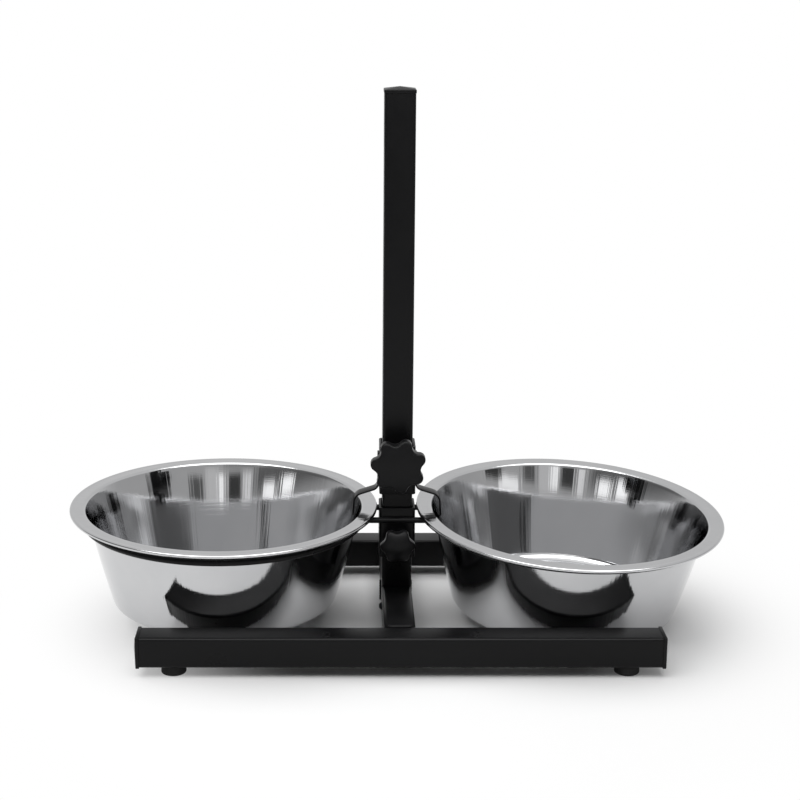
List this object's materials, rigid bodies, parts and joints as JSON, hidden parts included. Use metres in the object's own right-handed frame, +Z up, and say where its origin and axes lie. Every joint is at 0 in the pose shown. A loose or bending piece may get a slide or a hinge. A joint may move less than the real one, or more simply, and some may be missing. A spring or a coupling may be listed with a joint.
{
  "type": "dog feeder stand",
  "caption": "Raised dog feeder: H-base and square post in black steel, with a sliding clamp that carries polished steel bowls in wire hoops, and a hook clamp that holds them down.",
  "frame": {"origin": "on the floor, under the middle of the post", "axes": "+Z up the post, +X towards the right bowl, -Y towards the front, where the knobs are"},
  "size_m": [0.5487, 0.2584, 0.449],
  "materials": {
    "powder_coat": "satin black powder coat",
    "moulded_plastic": "moulded black plastic",
    "foot_rubber": "moulded black rubber",
    "black_bolt": "blackened steel",
    "zinc_plate": "zinc plated steel",
    "polished_stainless": "mirror polished stainless steel"
  },
  "bodies": {
    "stand": {"front_bar": "powder_coat", "rear_bar": "powder_coat", "front_arm": "powder_coat", "rear_arm": "powder_coat", "post_tube": "powder_coat", "arm_stub": "powder_coat", "arm_bolt": "black_bolt", "arm_nut": "zinc_plate", "post_cap": "moulded_plastic", "front_left_cap": "moulded_plastic", "front_right_cap": "moulded_plastic", "rear_left_cap": "moulded_plastic", "rear_right_cap": "moulded_plastic", "front_left_foot": "foot_rubber", "front_right_foot": "foot_rubber", "rear_left_foot": "foot_rubber", "rear_right_foot": "foot_rubber", "foot_screws": "zinc_plate"},
    "carrier": {"carrier_sleeve": "powder_coat", "carrier_nut": "zinc_plate", "left_hoop": "powder_coat", "right_hoop": "powder_coat", "front_cross_rod": "powder_coat", "rear_cross_rod": "powder_coat"},
    "carrier_stud": {"carrier_stud": "zinc_plate"},
    "carrier_knob": {"carrier_knob": "moulded_plastic"},
    "hook_clamp": {"hook_sleeve": "powder_coat", "hook_nut": "zinc_plate", "left_hook": "powder_coat", "right_hook": "powder_coat"},
    "hook_stud": {"hook_stud": "zinc_plate"},
    "hook_knob": {"hook_knob": "moulded_plastic"},
    "left_bowl": {"left_bowl": "polished_stainless"},
    "right_bowl": {"right_bowl": "polished_stainless"}
  },
  "joints": [
    {"name": "carrier_slide", "type": "slide", "parent": "stand", "child": "carrier", "axis": [0, 0, 1], "range_m": [0, 0.246]},
    {"name": "hook_clamp_slide", "type": "slide", "parent": "carrier", "child": "hook_clamp", "axis": [0, 0, 1], "range_m": [0, 0.042]},
    {"name": "left_bowl_lift", "type": "slide", "parent": "carrier", "child": "left_bowl", "axis": [0, 0, 1], "range_m": [0, 0.006]},
    {"name": "right_bowl_lift", "type": "slide", "parent": "carrier", "child": "right_bowl", "axis": [0, 0, 1], "range_m": [0, 0.006]},
    {"name": "carrier_stud_travel", "type": "slide", "parent": "carrier", "child": "carrier_stud", "axis": [0, -1, 0], "range_m": [0, 0.00187]},
    {"name": "carrier_knob_turn", "type": "hinge", "parent": "carrier_stud", "child": "carrier_knob", "pos_m": [0, -0.0305, 0.07573], "axis": [0, -1, 0], "range_deg": [0, 540]},
    {"name": "hook_stud_travel", "type": "slide", "parent": "hook_clamp", "child": "hook_stud", "axis": [0, -1, 0], "range_m": [0, 0.00187]},
    {"name": "hook_knob_turn", "type": "hinge", "parent": "hook_stud", "child": "hook_knob", "pos_m": [0, -0.0335, 0.14572], "axis": [0, -1, 0], "range_deg": [0, 540]}
  ],
  "couplings": [
    {"joint": "carrier_knob_turn", "follows": "carrier_stud_travel", "rad_per_m": 5026.5},
    {"joint": "hook_knob_turn", "follows": "hook_stud_travel", "rad_per_m": 5026.5}
  ]
}
